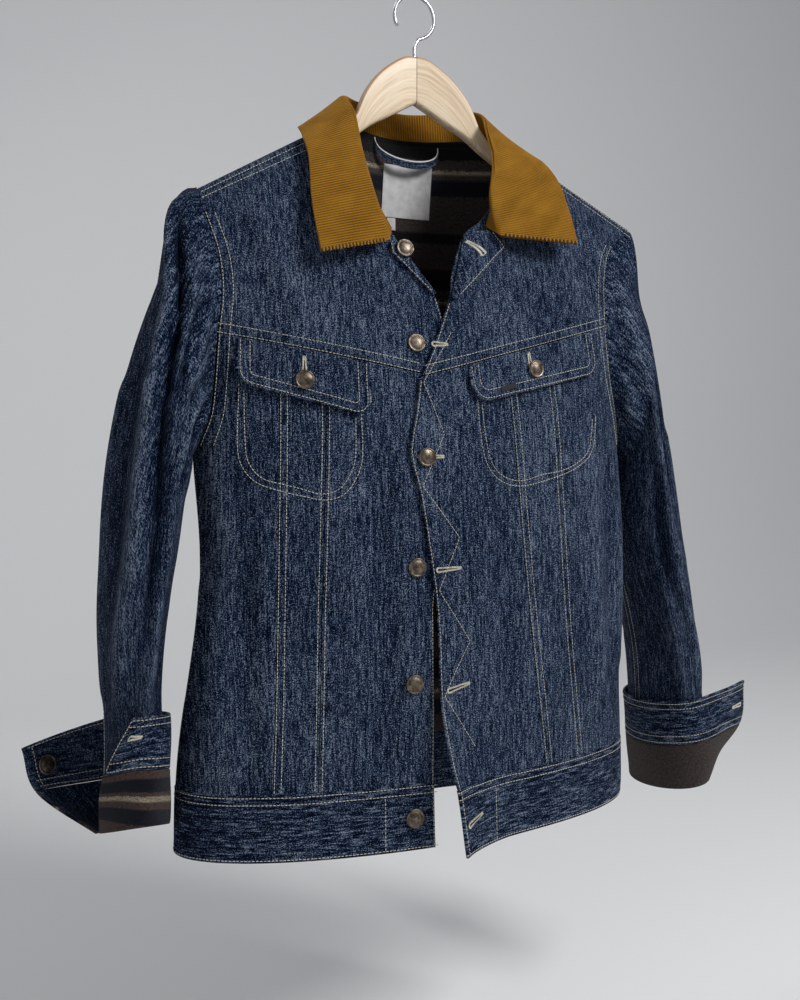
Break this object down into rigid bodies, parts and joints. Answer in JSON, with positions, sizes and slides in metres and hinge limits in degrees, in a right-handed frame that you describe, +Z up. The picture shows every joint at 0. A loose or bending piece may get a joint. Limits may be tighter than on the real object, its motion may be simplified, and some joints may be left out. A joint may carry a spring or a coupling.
{
  "type": "cropped denim jacket on a wooden hanger",
  "caption": "Cropped denim jacket with a corduroy collar, blanket lining, flap pockets and turned-back cuffs, hanging open on a wooden hanger with a wire hook.",
  "frame": {"origin": "inside top of the hanger's hook, where it rests on a rod", "axes": "+Z up, -Y to the jacket's front, +X to the wearer's left"},
  "size_m": [0.753, 0.2299, 0.8205],
  "materials": {
    "denim": "raw indigo denim with a slubby weave and cream topstitching",
    "corduroy": "mustard corduroy with fine wales",
    "blanket": "brushed woollen blanket with plain stripes",
    "label": "bare woven white label",
    "dark_tab": "bare woven black tab",
    "bronze": "dark antiqued metal, domed",
    "wood": "pale clear-lacquered wood",
    "steel": "bright wire"
  },
  "bodies": {
    "root": {"front_yoke_right": "denim", "front_yoke_left": "denim", "front_centre_right": "denim", "front_centre_left": "denim", "front_strip_right": "denim", "front_strip_left": "denim", "front_side_right": "denim", "front_side_left": "denim", "back_yoke": "denim", "back_centre": "denim", "back_side_right": "denim", "back_side_left": "denim", "hem_band_right": "denim", "hem_band_left": "denim", "hem_band_back": "denim", "lapel_right": "denim", "lapel_left": "denim", "pocket_flap_right": "denim", "pocket_flap_left": "denim", "sleeve_front_right": "denim", "sleeve_front_left": "denim", "sleeve_back_right": "denim", "sleeve_back_left": "denim", "cuff_right": "denim", "cuff_left": "denim", "locker_loop": "denim", "collar": "corduroy", "lining_back": "blanket", "turned_lining_right": "blanket", "turned_lining_left": "blanket", "neck_label": "label", "neck_label_tab": "label", "flap_tab": "dark_tab", "button_neck": "bronze", "button_front_1": "bronze", "button_front_2": "bronze", "button_front_3": "bronze", "button_front_4": "bronze", "button_front_5": "bronze", "button_flap_right": "bronze", "button_flap_left": "bronze", "button_cuff_right": "bronze", "button_cuff_left": "bronze", "hanger_right": "wood", "hanger_left": "wood", "hook": "steel"}
  },
  "joints": []
}
